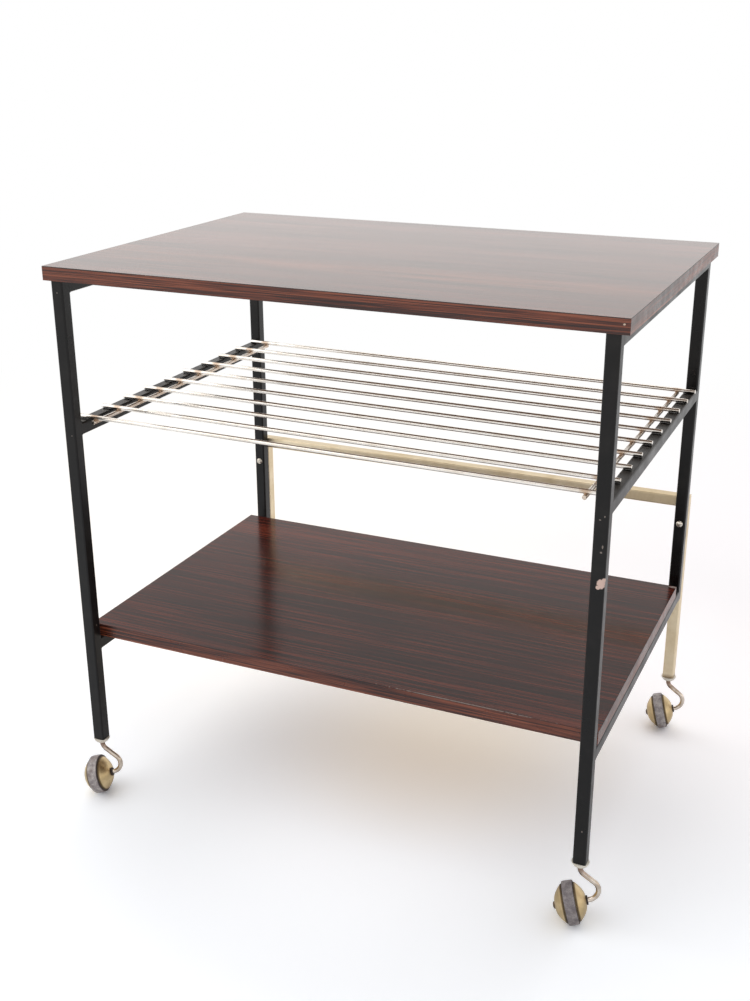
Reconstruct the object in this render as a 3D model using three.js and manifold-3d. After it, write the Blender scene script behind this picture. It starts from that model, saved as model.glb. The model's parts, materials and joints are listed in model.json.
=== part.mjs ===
// Serving trolley: a laminated top and shelf on two black tube side frames, a brass tube frame
// behind them, a lift-out rod rack and four swivelling dome casters.
// Millimetres, +Z up, the front towards -Y. The origin is the middle of the footprint on the floor.

import * as THREE from "three";
import { mergeVertices } from "three/addons/utils/BufferGeometryUtils.js";
import Module from "manifold-3d";

const wasm = await Module();
wasm.setup();

// Driving dimensions of the frame
const frameWidth = 645;
const frameDepth = 455;
const frontLegLength = 588;
const tubeSide = 15;
const tubeWall = 1.2;
const tubeCorner = 2.2;

// Heights below the underside of the top
const middleBarDrop = 168;
const bottomBarDrop = 448;
const brassBarDrop = 318;
const frameScrewBelowBrassBar = 33;

// Boards, set against the frame
const topSideOverhang = 8.5;
const topFrontOverhang = 2.5;
const topRearSetback = 5.5;
const topThickness = 16;
const shelfSideInset = 0.5;
const shelfFrontGap = 5;
const shelfRearGap = 20;
const shelfThickness = 16;
const laminateThickness = 0.8;
const backingThickness = 0.8;
const edgeBandThickness = 1;

// Rack, set against the frame
const rackEndInset = 2.5;
const rackRodCount = 10;
const rackRodFromLeg = 11.8;
const rackRodRadius = 2.5;
const rackRodRounding = 0.8;
const rackCrossInset = 11;
const rackCrossOverrun = 5;
const rackForwardShift = 1.5;
const rackSkewDegrees = -1;

// Casters
const plugFlangeOverhang = 2.4;
const plugFlangeRim = 1.3;
const plugFlangeDepth = 6;
const plugFlangeBottomRadius = 4.6;
const plugCurveShares = [[0, 0], [0.4, 0.12], [0.75, 0.45], [1, 1]];
const plugShankLength = 26;
const plugRoof = 3;
const stemRadius = 3;
const stemDrop = 7.8;
const stemTurnDegrees = 50;
const stemTurnRadius = 12;
const stemRun = 16.5;
const stemReturnRadius = 13.5;
const axleTiltDegrees = 14;
const axleReach = 20;
const tyreRadius = 24.6;
const tyreWidth = 13;
const tyreDepth = 5.1;
const tyreShoulder = 1.2;
const tyreCrown = 0.3;
const domeRimBelowTread = 2;
const domeRimLip = 0.8;
const domeHeight = 10.6;
const domeSheet = 1;
const hubWall = 1.6;
const collarWall = 1.9;
const collarLength = 1.6;
const rivetHeadLip = 1.3;
const rivetHeadHeight = 2;
const rivetHeadShares = [[1, 0.4], [0.6, 0.9], [0, 1]];
const frontCasterTurnShares = [0.05, 0.055];
const rearCasterTurnShares = [0.045, 0.04];

// Fasteners
const frameScrewRadius = 2.4;
const frameScrewLength = 22;
const frameScrewHeadRadius = 4.4;
const frameScrewHeadHeight = 2.6;
const frameScrewHeadShares = [[0, 1], [0.45, 0.9], [0.8, 0.65], [1, 0.25]];
const frameScrewSlotWidth = 1;
const frameScrewSlotDepth = 1.3;
const frameScrewSlotDegrees = [55, 0];
const boardScrewRadius = 2;
const boardScrewPlaceShares = [0.2, 0.8];

// Clearances
const seatGap = 0.3;
const plugFit = 0.3;
const boreClearance = 0.3;
const mitreGap = 0.3;
const weldGap = 0.1;
const cutOverrun = 1;

// Facets
const cornerSegments = 2;
const rodSegments = 12;
const boreSegments = 12;
const holeSegments = 8;
const wheelSegments = 24;
const stemSides = 10;
const turnDegreesPerStep = 16;
const domeOuterSteps = 4;
const domeInnerSteps = 2;

const radians = THREE.MathUtils.degToRad;
const axleTilt = radians(axleTiltDegrees);
const stemTurn = radians(stemTurnDegrees);

// Materials, one new one for each mesh
const finishes = {
  laminate: { color: 0x4a3430, roughness: 0.25, metalness: 0 },
  chipboard: { color: 0xb08d5e, roughness: 0.9, metalness: 0 },
  backing: { color: 0x8a6f60, roughness: 0.6, metalness: 0 },
  edgeBand: { color: 0x6e3a2a, roughness: 0.35, metalness: 0 },
  blackLacquer: { color: 0x262425, roughness: 0.45, metalness: 0.1 },
  brassTube: { color: 0xc3a878, roughness: 0.3, metalness: 0.9 },
  brightRod: { color: 0xd8cbb0, roughness: 0.2, metalness: 1 },
  nickel: { color: 0xd9d4ca, roughness: 0.3, metalness: 1 },
  whitePlastic: { color: 0xe6e2d6, roughness: 0.5, metalness: 0 },
  agedBrass: { color: 0x9a8452, roughness: 0.35, metalness: 0.9 },
  stemMetal: { color: 0xb8a287, roughness: 0.3, metalness: 0.9 },
  greyRubber: { color: 0x6c6666, roughness: 0.85, metalness: 0 },
  darkPlastic: { color: 0x2b2522, roughness: 0.6, metalness: 0 },
};

const model = new THREE.Group();

function addPart(parent, name, geometry, finish) {
  const mesh = new THREE.Mesh(geometry, new THREE.MeshStandardMaterial(finishes[finish]));
  mesh.name = name;
  parent.add(mesh);
  return mesh;
}

function solidFrom(geometry) {
  const bare = geometry.clone();
  bare.deleteAttribute("normal");
  bare.deleteAttribute("uv");
  const merged = mergeVertices(bare);
  return new wasm.Manifold(new wasm.Mesh({
    numProp: 3,
    vertProperties: new Float32Array(merged.attributes.position.array),
    triVerts: new Uint32Array(merged.index.array),
  }));
}

function geometryFrom(solid) {
  const mesh = solid.getMesh();
  const geometry = new THREE.BufferGeometry();
  const places = new Float32Array(mesh.vertProperties);
  geometry.setAttribute("position", new THREE.BufferAttribute(places, mesh.numProp));
  geometry.setIndex(new THREE.BufferAttribute(new Uint32Array(mesh.triVerts), 1));
  geometry.computeVertexNormals();
  return geometry;
}

function cut(geometry, tools) {
  let solid = solidFrom(geometry);
  for (const tool of tools) {
    solid = solid.subtract(solidFrom(tool));
  }
  return geometryFrom(solid);
}

function join(geometries) {
  let solid = solidFrom(geometries[0]);
  for (const other of geometries.slice(1)) {
    solid = solid.add(solidFrom(other));
  }
  return geometryFrom(solid);
}

// Square outline with rounded corners, centred on the origin
function roundedSquare(outline, side, corner) {
  const inner = side / 2 - corner;
  const quarter = Math.PI / 2;
  outline.absarc(inner, inner, corner, 0, quarter);
  outline.absarc(-inner, inner, corner, quarter, 2 * quarter);
  outline.absarc(-inner, -inner, corner, 2 * quarter, 3 * quarter);
  outline.absarc(inner, -inner, corner, 3 * quarter, 4 * quarter);
  outline.closePath();
  return outline;
}

// Square tube standing on z = 0
function squareTube(length) {
  const section = roundedSquare(new THREE.Shape(), tubeSide, tubeCorner);
  section.holes.push(roundedSquare(new THREE.Path(), tubeSide - 2 * tubeWall, tubeCorner - tubeWall));
  return new THREE.ExtrudeGeometry(section, {
    depth: length,
    bevelEnabled: false,
    curveSegments: cornerSegments,
  });
}

// Round bar along Z between two heights
function roundBar(radius, low, high, segments) {
  const bar = new THREE.CylinderGeometry(radius, radius, high - low, segments);
  bar.rotateX(Math.PI / 2);
  bar.translate(0, 0, (low + high) / 2);
  return bar;
}

// Turned solid along Z from a profile of [radius, height] pairs
function turned(profile, segments) {
  const points = profile.map(([radius, height]) => new THREE.Vector2(radius, height));
  const solid = new THREE.LatheGeometry(points, segments);
  solid.rotateX(Math.PI / 2);
  return solid;
}

// Radius that keeps a many-sided bore clear of a round piece
function boreRadius(pieceRadius) {
  return (pieceRadius + boreClearance) / Math.cos(Math.PI / boreSegments);
}

// Caster shape in the caster's own vertical plane: the stem turns outward, runs down and comes back
// as the tilted axle. Each station is one ring of the bent rod.
const stemTop = plugShankLength - plugRoof - seatGap;
const returnTurn = stemTurn + Math.PI / 2 - axleTilt;
const alongRun = new THREE.Vector2(Math.sin(stemTurn), -Math.cos(stemTurn));
const alongAxle = new THREE.Vector2(-Math.cos(axleTilt), -Math.sin(axleTilt));
const firstTurnCentre = new THREE.Vector2(stemTurnRadius, -stemDrop);
const firstTurnEnd = new THREE.Vector2(
  stemTurnRadius * (1 - Math.cos(stemTurn)),
  -stemDrop - stemTurnRadius * Math.sin(stemTurn),
);
const returnStart = firstTurnEnd.clone().addScaledVector(alongRun, stemRun);
const returnCentre = new THREE.Vector2(
  returnStart.x - stemReturnRadius * Math.cos(stemTurn),
  returnStart.y - stemReturnRadius * Math.sin(stemTurn),
);
const returnEnd = new THREE.Vector2(
  returnCentre.x + stemReturnRadius * Math.cos(stemTurn - returnTurn),
  returnCentre.y + stemReturnRadius * Math.sin(stemTurn - returnTurn),
);
const wheelCentre = returnEnd.clone().addScaledVector(alongAxle, axleReach);

const domeBase = tyreWidth / 2 + seatGap;
const domeApex = domeBase + domeHeight;
const rivetSeat = wheelCentre.clone().addScaledVector(alongAxle, domeApex + seatGap);
const axleEnd = rivetSeat.clone().addScaledVector(alongAxle, rivetHeadHeight / 2);

class BentRod extends THREE.Curve {
  constructor() {
    super();
    const firstSteps = Math.ceil(stemTurnDegrees / turnDegreesPerStep);
    const returnSteps = Math.ceil(THREE.MathUtils.radToDeg(returnTurn) / turnDegreesPerStep);
    this.legs = [
      { steps: 1, place: (t) => [0, stemTop + (-stemDrop - stemTop) * t] },
      {
        steps: firstSteps,
        place: (t) => [
          firstTurnCentre.x - stemTurnRadius * Math.cos(stemTurn * t),
          firstTurnCentre.y - stemTurnRadius * Math.sin(stemTurn * t),
        ],
      },
      {
        steps: 1,
        place: (t) => [
          firstTurnEnd.x + alongRun.x * stemRun * t,
          firstTurnEnd.y + alongRun.y * stemRun * t,
        ],
      },
      {
        steps: returnSteps,
        place: (t) => [
          returnCentre.x + stemReturnRadius * Math.cos(stemTurn - returnTurn * t),
          returnCentre.y + stemReturnRadius * Math.sin(stemTurn - returnTurn * t),
        ],
      },
      {
        steps: 1,
        place: (t) => [
          returnEnd.x + (axleEnd.x - returnEnd.x) * t,
          returnEnd.y + (axleEnd.y - returnEnd.y) * t,
        ],
      },
    ];
    this.stations = this.legs.reduce((sum, leg) => sum + leg.steps, 0);
  }

  getPoint(t, target = new THREE.Vector3()) {
    let station = t * this.stations;
    let index = 0;
    while (index < this.legs.length - 1 && station > this.legs[index].steps) {
      station -= this.legs[index].steps;
      index += 1;
    }
    const [x, z] = this.legs[index].place(station / this.legs[index].steps);
    return target.set(x, 0, z);
  }

  // Stations stay where the legs put them
  getUtoTmapping(u) {
    return u;
  }
}

// Floor, worked out from the tilted tyre's lowest corner
const tyreSeatRadius = tyreRadius - tyreDepth;
const tyreEdgeRadius = tyreRadius - tyreCrown - tyreShoulder;
const tyreEdge = tyreWidth / 2;
const tyreShoulderReach = (tyreRadius - tyreCrown) * Math.cos(axleTilt)
  + (tyreEdge - tyreShoulder) * Math.sin(axleTilt);
const tyreEdgeReach = tyreEdgeRadius * Math.cos(axleTilt) + tyreEdge * Math.sin(axleTilt);
const legBottom = -wheelCentre.y + Math.max(tyreShoulderReach, tyreEdgeReach);
const topUnderside = legBottom + frontLegLength;
const legX = (frameWidth - tubeSide) / 2;
const frontLegY = tubeSide / 2;
const rearLegY = frameDepth - tubeSide / 2;
const brassLegY = frameDepth + tubeSide / 2;
const barLength = frameDepth - 2 * tubeSide;
const rearLegLength = bottomBarDrop + tubeSide;
const frameScrewZ = topUnderside - brassBarDrop - frameScrewBelowBrassBar;
const sides = [["left", -1], ["right", 1]];

// Boards: chipboard, a laminate sheet over the whole face, a backing sheet and an edge band round both
function addBoard(name, width, depth, thickness, underside, front) {
  const board = new THREE.Group();
  board.position.set(0, front + depth / 2, underside);
  model.add(board);
  const coreWidth = width - 2 * edgeBandThickness;
  const coreDepth = depth - 2 * edgeBandThickness;
  const coreTop = thickness - laminateThickness;

  const backing = new THREE.BoxGeometry(coreWidth, coreDepth, backingThickness);
  backing.translate(0, 0, backingThickness / 2);
  addPart(board, `${name}_backing`, backing, "backing");

  const core = new THREE.BoxGeometry(coreWidth, coreDepth, coreTop - backingThickness);
  core.translate(0, 0, (coreTop + backingThickness) / 2);
  addPart(board, `${name}_core`, core, "chipboard");

  const laminate = new THREE.BoxGeometry(width, depth, laminateThickness);
  laminate.translate(0, 0, thickness - laminateThickness / 2);
  addPart(board, `${name}_laminate`, laminate, "laminate");

  const rim = new THREE.Shape();
  rim.moveTo(-width / 2, -depth / 2);
  rim.lineTo(width / 2, -depth / 2);
  rim.lineTo(width / 2, depth / 2);
  rim.lineTo(-width / 2, depth / 2);
  rim.closePath();
  const inside = new THREE.Path();
  inside.moveTo(-coreWidth / 2, -coreDepth / 2);
  inside.lineTo(coreWidth / 2, -coreDepth / 2);
  inside.lineTo(coreWidth / 2, coreDepth / 2);
  inside.lineTo(-coreWidth / 2, coreDepth / 2);
  inside.closePath();
  rim.holes.push(inside);
  const band = new THREE.ExtrudeGeometry(rim, { depth: coreTop, bevelEnabled: false });
  addPart(board, `${name}_edge_band`, band, "edgeBand");
}

// Crossbar between a front leg and a rear leg, drilled where board screws pass
function crossbar(drilled) {
  const bar = squareTube(barLength);
  bar.rotateX(-Math.PI / 2);
  if (!drilled) {
    return bar;
  }
  const hole = (boardScrewRadius + boreClearance) / Math.cos(Math.PI / holeSegments);
  const reach = tubeSide / 2 + cutOverrun;
  return cut(bar, boardScrewPlaceShares.map((share) => {
    const bit = roundBar(hole, -reach, reach, holeSegments);
    bit.translate(0, barLength * share, 0);
    return bit;
  }));
}

// Hole along Y through both walls of an upright, or through its front wall only
function frameScrewBit(height, throughBoth) {
  const hole = (frameScrewRadius + boreClearance) / Math.cos(Math.PI / holeSegments);
  const half = tubeSide / 2;
  const end = throughBoth ? half + cutOverrun : 0;
  const bit = roundBar(hole, -half - cutOverrun, end, holeSegments);
  bit.rotateX(-Math.PI / 2);
  bit.translate(0, 0, height);
  return bit;
}

function addSideFrames() {
  const levels = [["top", 0, true], ["middle", middleBarDrop, false], ["bottom", bottomBarDrop, true]];
  for (const [side, sign] of sides) {
    const x = sign * legX;
    const front = addPart(model, `front_leg_${side}`, squareTube(frontLegLength), "blackLacquer");
    front.position.set(x, frontLegY, legBottom);

    const rearBottom = topUnderside - rearLegLength;
    const rearTube = cut(squareTube(rearLegLength), [frameScrewBit(frameScrewZ - rearBottom, true)]);
    const rear = addPart(model, `rear_leg_${side}`, rearTube, "blackLacquer");
    rear.position.set(x, rearLegY, rearBottom);

    for (const [level, drop, drilled] of levels) {
      const bar = addPart(model, `${level}_crossbar_${side}`, crossbar(drilled), "blackLacquer");
      bar.position.set(x, tubeSide, topUnderside - drop - tubeSide / 2);
    }
  }
}

// Cutting block that mitres a tube: it fills the side of a 45 degree plane that faces up and +X, and
// starts half the gap before that plane
function mitreBlock() {
  const size = 4 * tubeSide;
  const block = new THREE.BoxGeometry(size, size, size);
  block.translate(0, 0, size / 2 - mitreGap / 2);
  block.rotateY(Math.PI / 4);
  return block;
}

// Inverted U of brass tube behind the rear legs, mitred at its two top corners
function addBrassFrame() {
  const barTop = topUnderside - brassBarDrop;
  const centre = barTop - tubeSide / 2;
  const legLength = barTop - legBottom;
  for (const [side, sign] of sides) {
    const corner = mitreBlock();
    if (sign > 0) {
      corner.rotateZ(Math.PI);
    }
    corner.translate(0, 0, centre - legBottom);
    const screwHole = frameScrewBit(frameScrewZ - legBottom, false);
    const tube = cut(squareTube(legLength), [corner, screwHole]);
    const leg = addPart(model, `brass_leg_${side}`, tube, "brassTube");
    leg.position.set(sign * legX, brassLegY, legBottom);
  }

  const bar = squareTube(frameWidth);
  bar.translate(0, 0, -frameWidth / 2);
  bar.rotateY(Math.PI / 2);
  const ends = sides.map(([, sign]) => {
    const block = mitreBlock();
    block.rotateY(Math.PI);
    if (sign > 0) {
      block.rotateZ(Math.PI);
    }
    block.translate(sign * legX, 0, 0);
    return block;
  });
  const brassBar = addPart(model, "brass_bar", cut(bar, ends), "brassTube");
  brassBar.position.set(0, brassLegY, centre);
}

// Slotted round-head screw along +Y, its head against the leg's front face
function frameScrew(slotDegrees) {
  const crown = frameScrewHeadShares.map(([across, up]) => [
    frameScrewHeadRadius * across,
    -frameScrewHeadHeight * up,
  ]);
  const screw = turned([
    ...crown,
    [frameScrewHeadRadius, 0],
    [frameScrewRadius, 0],
    [frameScrewRadius, frameScrewLength],
    [0, frameScrewLength],
  ], boreSegments);
  const slotLength = 2 * (frameScrewHeadRadius + cutOverrun);
  const slot = new THREE.BoxGeometry(slotLength, frameScrewSlotWidth, 2 * frameScrewSlotDepth);
  slot.rotateZ(radians(slotDegrees));
  slot.translate(0, 0, -frameScrewHeadHeight);
  const slotted = cut(screw, [slot]);
  slotted.rotateX(-Math.PI / 2);
  return slotted;
}

function addFrameScrews() {
  sides.forEach(([side, sign], index) => {
    const slotted = frameScrew(frameScrewSlotDegrees[index]);
    const screw = addPart(model, `frame_screw_${side}`, slotted, "nickel");
    screw.position.set(sign * legX, frameDepth - tubeSide, frameScrewZ);
  });
}

// Rack rod along X with rounded ends
function rackRod(length) {
  const half = length / 2;
  const shoulder = rackRodRadius - rackRodRounding;
  const rod = turned([
    [0, -half],
    [shoulder, -half],
    [rackRodRadius, -half + rackRodRounding],
    [rackRodRadius, half - rackRodRounding],
    [shoulder, half],
    [0, half],
  ], rodSegments);
  rod.rotateY(Math.PI / 2);
  return rod;
}

// Rack that lies loose on the middle crossbars, held in place by two cross rods between them
function addRack() {
  const rack = new THREE.Group();
  const rodZ = topUnderside - middleBarDrop + seatGap + rackRodRadius;
  rack.position.set(0, frameDepth / 2 - rackForwardShift, rodZ);
  rack.rotation.z = radians(rackSkewDegrees);
  model.add(rack);
  const rackLength = frameWidth - 2 * rackEndInset;
  const spread = barLength - 2 * rackRodFromLeg;
  const pitch = spread / (rackRodCount - 1);
  for (let index = 0; index < rackRodCount; index += 1) {
    const number = String(index + 1).padStart(2, "0");
    const rod = addPart(rack, `rack_rod_${number}`, rackRod(rackLength), "brightRod");
    rod.position.y = -spread / 2 + index * pitch;
  }
  for (const [side, sign] of sides) {
    const cross = rackRod(spread + 2 * rackCrossOverrun);
    cross.rotateZ(Math.PI / 2);
    const mesh = addPart(rack, `rack_cross_rod_${side}`, cross, "brightRod");
    mesh.position.set(sign * (legX - tubeSide / 2 - rackCrossInset), 0, -2 * rackRodRadius - weldGap);
  }
}

// Plug in the end of a leg: a shallow dish below the tube and a square shank inside it
function casterPlug() {
  const plugFlangeRadius = tubeSide / 2 + plugFlangeOverhang;
  const curve = plugCurveShares.map(([across, up]) => [
    plugFlangeBottomRadius + (plugFlangeRadius - plugFlangeBottomRadius) * across,
    -plugFlangeDepth + (plugFlangeDepth - plugFlangeRim) * up,
  ]);
  const dish = turned([
    [0, -plugFlangeDepth],
    ...curve,
    [plugFlangeRadius, 0],
    [0, 0],
  ], boreSegments);
  const shankSide = tubeSide - 2 * tubeWall - 2 * plugFit;
  const section = roundedSquare(new THREE.Shape(), shankSide, tubeCorner - tubeWall);
  const shank = new THREE.ExtrudeGeometry(section, {
    depth: plugShankLength + plugFlangeRim,
    bevelEnabled: false,
    curveSegments: cornerSegments,
  });
  shank.translate(0, 0, -plugFlangeRim);
  const boreTop = plugShankLength - plugRoof;
  const bore = roundBar(boreRadius(stemRadius), -plugFlangeDepth - cutOverrun, boreTop, boreSegments);
  return cut(join([dish, shank]), [bore]);
}

// Bent rod that is both the swivel stem and the wheel's axle, riveted over at its far end
function casterStem() {
  const path = new BentRod();
  const section = new THREE.Shape();
  section.absarc(0, 0, stemRadius, 0, 2 * Math.PI);
  const rod = new THREE.ExtrudeGeometry(section, {
    steps: path.stations,
    extrudePath: path,
    curveSegments: stemSides / 2,
  });
  const headRadius = stemRadius + rivetHeadLip;
  const head = turned([
    [0, 0],
    [headRadius, 0],
    ...rivetHeadShares.map(([across, up]) => [headRadius * across, rivetHeadHeight * up]),
  ], stemSides);
  head.rotateY(-Math.PI / 2 - axleTilt);
  head.translate(rivetSeat.x, 0, rivetSeat.y);
  return join([rod, head]);
}

// Pressed wheel half: a hub sleeve, a domed cover, a flange and a shoulder that carries the tyre
function wheelDome() {
  const bore = boreRadius(stemRadius);
  const hub = bore + hubWall;
  const middle = seatGap / 2;
  const seat = tyreSeatRadius - seatGap;
  const rise = domeHeight - domeRimLip;
  const domeRimRadius = tyreRadius - domeRimBelowTread;
  const sphere = ((domeRimRadius - hub) ** 2 + rise ** 2) / (2 * rise);
  const centre = domeApex - sphere;
  const arc = (radius, lowest, steps) => {
    const span = Math.acos((lowest - centre) / radius);
    const points = [];
    for (let step = 0; step <= steps; step += 1) {
      const angle = span * (1 - step / steps);
      points.push([hub + radius * Math.sin(angle), centre + radius * Math.cos(angle)]);
    }
    return points;
  };
  return turned([
    [bore, middle],
    [hub, middle],
    ...arc(sphere - domeSheet, domeBase + domeSheet, domeInnerSteps).reverse(),
    [seat - domeSheet, domeBase + domeSheet],
    [seat - domeSheet, middle],
    [seat, middle],
    [seat, domeBase],
    [domeRimRadius, domeBase],
    ...arc(sphere, domeBase + domeRimLip, domeOuterSteps),
    [bore, domeApex],
    [bore, middle],
  ], wheelSegments);
}

// Worn rubber tyre, slightly crowned
function wheelTyre() {
  const flat = tyreRadius - tyreCrown;
  return turned([
    [tyreSeatRadius, -tyreEdge],
    [tyreEdgeRadius, -tyreEdge],
    [flat, -tyreEdge + tyreShoulder],
    [tyreRadius, 0],
    [flat, tyreEdge - tyreShoulder],
    [tyreEdgeRadius, tyreEdge],
    [tyreSeatRadius, tyreEdge],
    [tyreSeatRadius, -tyreEdge],
  ], wheelSegments);
}

// Plain ring between the wheel and the bend of the stem
function wheelCollar() {
  const bore = boreRadius(stemRadius);
  const low = domeApex + seatGap;
  return turned([
    [bore, low],
    [bore + collarWall, low],
    [bore + collarWall, low + collarLength],
    [bore, low + collarLength],
    [bore, low],
  ], boreSegments);
}

// The plug sits square in the leg, and all below it stands turned as the trolley was last pushed
function addCaster(name, x, y, turnShare) {
  const foot = new THREE.Group();
  foot.position.set(x, y, legBottom);
  model.add(foot);
  addPart(foot, `caster_plug_${name}`, casterPlug(), "whitePlastic");

  const caster = new THREE.Group();
  caster.rotation.z = 2 * Math.PI * turnShare;
  foot.add(caster);
  addPart(caster, `caster_stem_${name}`, casterStem(), "stemMetal");

  const axle = new THREE.Group();
  axle.position.set(wheelCentre.x, 0, wheelCentre.y);
  axle.rotation.y = Math.PI / 2 - axleTilt;
  caster.add(axle);
  addPart(axle, `wheel_collar_${name}`, wheelCollar(), "darkPlastic");
  addPart(axle, `wheel_tyre_${name}`, wheelTyre(), "greyRubber");
  addPart(axle, `wheel_dome_inner_${name}`, wheelDome(), "agedBrass");
  const outer = addPart(axle, `wheel_dome_outer_${name}`, wheelDome(), "agedBrass");
  outer.rotation.x = Math.PI;
}

const topWidth = frameWidth + 2 * topSideOverhang;
const topDepth = frameDepth + topFrontOverhang - topRearSetback;
addBoard("tabletop", topWidth, topDepth, topThickness, topUnderside, -topFrontOverhang);
const shelfWidth = frameWidth - 2 * shelfSideInset;
const shelfDepth = barLength - shelfFrontGap - shelfRearGap;
const shelfUnderside = topUnderside - bottomBarDrop;
addBoard("shelf", shelfWidth, shelfDepth, shelfThickness, shelfUnderside, tubeSide + shelfFrontGap);
addSideFrames();
addBrassFrame();
addFrameScrews();
addRack();
sides.forEach(([side, sign], index) => {
  addCaster(`front_${side}`, sign * legX, frontLegY, frontCasterTurnShares[index]);
  addCaster(`rear_${side}`, sign * legX, brassLegY, rearCasterTurnShares[index]);
});

// The origin goes to the middle of the footprint, at the floor
model.updateMatrixWorld(true);
const extent = new THREE.Box3().setFromObject(model, true);
const middle = extent.getCenter(new THREE.Vector3());
model.position.set(-middle.x, -middle.y, -extent.min.z);

export default model;
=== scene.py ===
import json
import math

import bmesh
import bpy
from mathutils import Euler, Matrix, Vector


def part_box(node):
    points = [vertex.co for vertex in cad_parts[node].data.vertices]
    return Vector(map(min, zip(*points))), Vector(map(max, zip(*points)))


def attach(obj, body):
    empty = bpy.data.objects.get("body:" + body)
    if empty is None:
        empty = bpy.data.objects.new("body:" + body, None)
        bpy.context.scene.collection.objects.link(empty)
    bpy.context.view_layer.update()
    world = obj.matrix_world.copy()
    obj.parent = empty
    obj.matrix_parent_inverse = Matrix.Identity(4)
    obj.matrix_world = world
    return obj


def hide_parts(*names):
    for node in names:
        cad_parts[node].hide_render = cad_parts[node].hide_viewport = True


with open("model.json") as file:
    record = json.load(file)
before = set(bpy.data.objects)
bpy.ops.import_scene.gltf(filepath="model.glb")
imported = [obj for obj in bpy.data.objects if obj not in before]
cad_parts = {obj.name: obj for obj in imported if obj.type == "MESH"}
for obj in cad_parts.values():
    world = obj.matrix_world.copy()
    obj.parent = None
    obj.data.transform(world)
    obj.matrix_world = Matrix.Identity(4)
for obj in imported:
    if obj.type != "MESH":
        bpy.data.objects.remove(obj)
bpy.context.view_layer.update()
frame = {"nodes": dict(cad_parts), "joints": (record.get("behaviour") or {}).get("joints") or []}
print("frame loaded:", len(frame["nodes"]), "nodes")

sideNames = ("left", "right")
levelNames = ("top", "middle", "bottom")
casterNames = ("front_left", "front_right", "rear_left", "rear_right")
rodNodes = [f"rack_rod_{number:02d}" for number in range(1, 11)]

# Camera, standing in front and to the right of the trolley
cameraSettings = {
    "place": (0.58372, -1.36248, 0.93977),
    "turnLeft": 24.24,
    "tiltDown": 20.88,
    "roll": -0.17,
    "lens": 45.39,
}


def addCamera(settings):
    data = bpy.data.cameras.new("camera")
    data.lens = settings["lens"]
    camera = bpy.data.objects.new("camera", data)
    bpy.context.scene.collection.objects.link(camera)
    turn = Matrix.Rotation(math.radians(settings["turnLeft"]), 4, "Z")
    tilt = Matrix.Rotation(math.radians(90 - settings["tiltDown"]), 4, "X")
    roll = Matrix.Rotation(math.radians(settings["roll"]), 4, "Z")
    camera.matrix_world = Matrix.Translation(settings["place"]) @ turn @ tilt @ roll
    bpy.context.scene.camera = camera


addCamera(cameraSettings)


# Modelling steps that all pieces share
def useOnly(piece):
    bpy.ops.object.select_all(action="DESELECT")
    piece.select_set(True)
    bpy.context.view_layer.objects.active = piece


def named(name):
    piece = bpy.context.object
    piece.name = name
    piece.data.name = name
    return piece


def settle(piece):
    useOnly(piece)
    bpy.ops.object.transform_apply(location=True, rotation=True, scale=True)
    return piece


def edit(piece):
    useOnly(piece)
    bpy.ops.object.mode_set(mode="EDIT")
    bpy.ops.mesh.select_mode(type="VERT")


def leaveEdit():
    bpy.ops.object.mode_set(mode="OBJECT")


def selectAll():
    bpy.ops.mesh.select_all(action="SELECT")


def faceOutward():
    selectAll()
    bpy.ops.mesh.normals_make_consistent(inside=False)


def pick(piece, kind, test):
    bpy.ops.mesh.select_mode(type=kind)
    bpy.ops.mesh.select_all(action="DESELECT")
    mesh = bmesh.from_edit_mesh(piece.data)
    for item in mesh.faces if kind == "FACE" else mesh.edges:
        item.select_set(test(item))
    bmesh.update_edit_mesh(piece.data)


def edgeWay(edge):
    return (edge.verts[1].co - edge.verts[0].co).normalized()


def edgeMiddle(edge):
    return (edge.verts[0].co + edge.verts[1].co) / 2


def modify(piece, kind, **settings):
    useOnly(piece)
    modifier = piece.modifiers.new(kind, kind)
    for name, value in settings.items():
        setattr(modifier, name, value)
    bpy.ops.object.modifier_apply(modifier=modifier.name)


def roundEdges(piece, width):
    modify(
        piece, "BEVEL", width=width, segments=2, limit_method="ANGLE", angle_limit=math.radians(50)
    )


def smooth(piece, degrees=35):
    useOnly(piece)
    bpy.ops.object.shade_smooth_by_angle(angle=math.radians(degrees))
    modify(piece, "WEIGHTED_NORMAL", weight=90, keep_sharp=True)


def centreOf(node):
    low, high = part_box(node)
    return (low + high) / 2


def started(name, add, **settings):
    bpy.ops.object.select_all(action="DESELECT")
    add(**settings)
    return settle(named(name))


def startBlock(name, low, high):
    middle = (low + high) / 2
    return started(name, bpy.ops.mesh.primitive_cube_add, size=1, location=middle, scale=high - low)


def startCircle(name, sides, radius, height, fill="NGON"):
    add = bpy.ops.mesh.primitive_circle_add
    return started(name, add, vertices=sides, radius=radius, location=(0, 0, height), fill_type=fill)


def copyOf(piece, name, shift, turn=(0, 0, 0)):
    useOnly(piece)
    bpy.ops.object.duplicate(linked=False)
    copy = named(name)
    copy.rotation_euler = turn
    copy.location = shift
    return settle(copy)


def joined(pieces, name):
    useOnly(pieces[0])
    for piece in pieces:
        piece.select_set(True)
    bpy.ops.object.join()
    return named(name)


def remove(piece):
    bpy.data.objects.remove(piece)


def dress(piece, body, slot, finishes, *nodes):
    piece.data.materials.clear()
    for finish in finishes:
        piece.data.materials.append(finish)
    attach(piece, body)
    if nodes:
        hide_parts(*nodes)


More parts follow.
